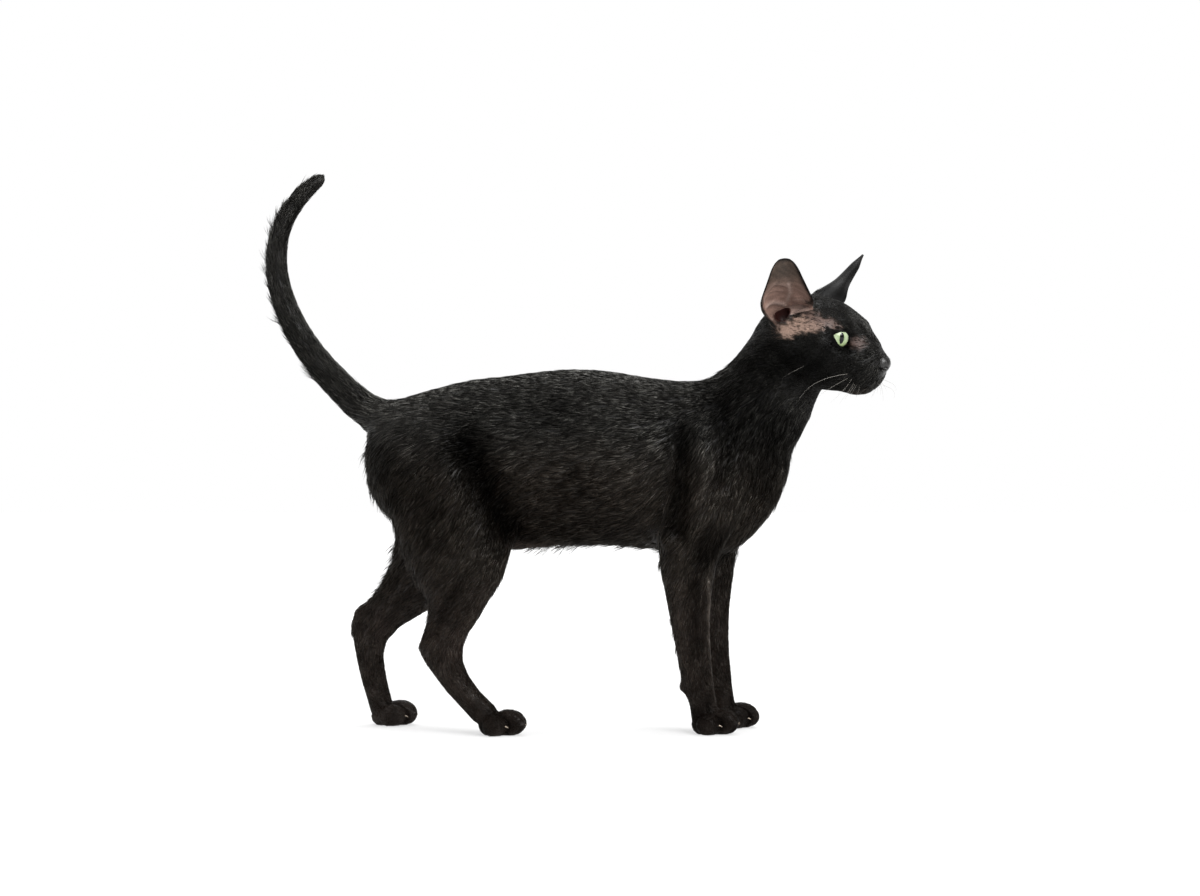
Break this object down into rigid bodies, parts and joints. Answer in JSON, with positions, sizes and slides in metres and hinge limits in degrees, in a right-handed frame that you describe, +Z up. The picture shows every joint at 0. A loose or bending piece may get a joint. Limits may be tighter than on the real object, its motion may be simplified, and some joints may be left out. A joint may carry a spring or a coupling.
{
  "type": "standing cat",
  "caption": "Slender short-haired black cat standing still in profile, tail raised in a curve, large ears up, as a life-size display model.",
  "frame": {"origin": "middle of the box, on the floor that the four paws stand on", "axes": "+Z up, +X forward along the body towards the head, +Y towards the cat's left side"},
  "size_m": [0.4969, 0.1329, 0.4447],
  "materials": {
    "coat": "short, close-lying, glossy black coat",
    "ear_skin": "thin ear, short black coat outside and nearly bare brown-pink skin inside",
    "eye": "wet, clear cornea over a pale green iris with an upright slit pupil",
    "nose_leather": "damp, finely pebbled black skin"
  },
  "bodies": {
    "root": {"head": "coat", "neck": "coat", "chest": "coat", "loin": "coat", "rump": "coat", "tail_root": "coat", "tail_middle": "coat", "tail_tip": "coat", "foreleg_right": "coat", "forepaw_right": "coat", "thigh_right": "coat", "shank_right": "coat", "hindfoot_right": "coat", "foreleg_left": "coat", "forepaw_left": "coat", "thigh_left": "coat", "shank_left": "coat", "hindfoot_left": "coat", "ear_right": "ear_skin", "ear_left": "ear_skin", "eye_right": "eye", "eye_left": "eye", "nose": "nose_leather"}
  },
  "joints": []
}
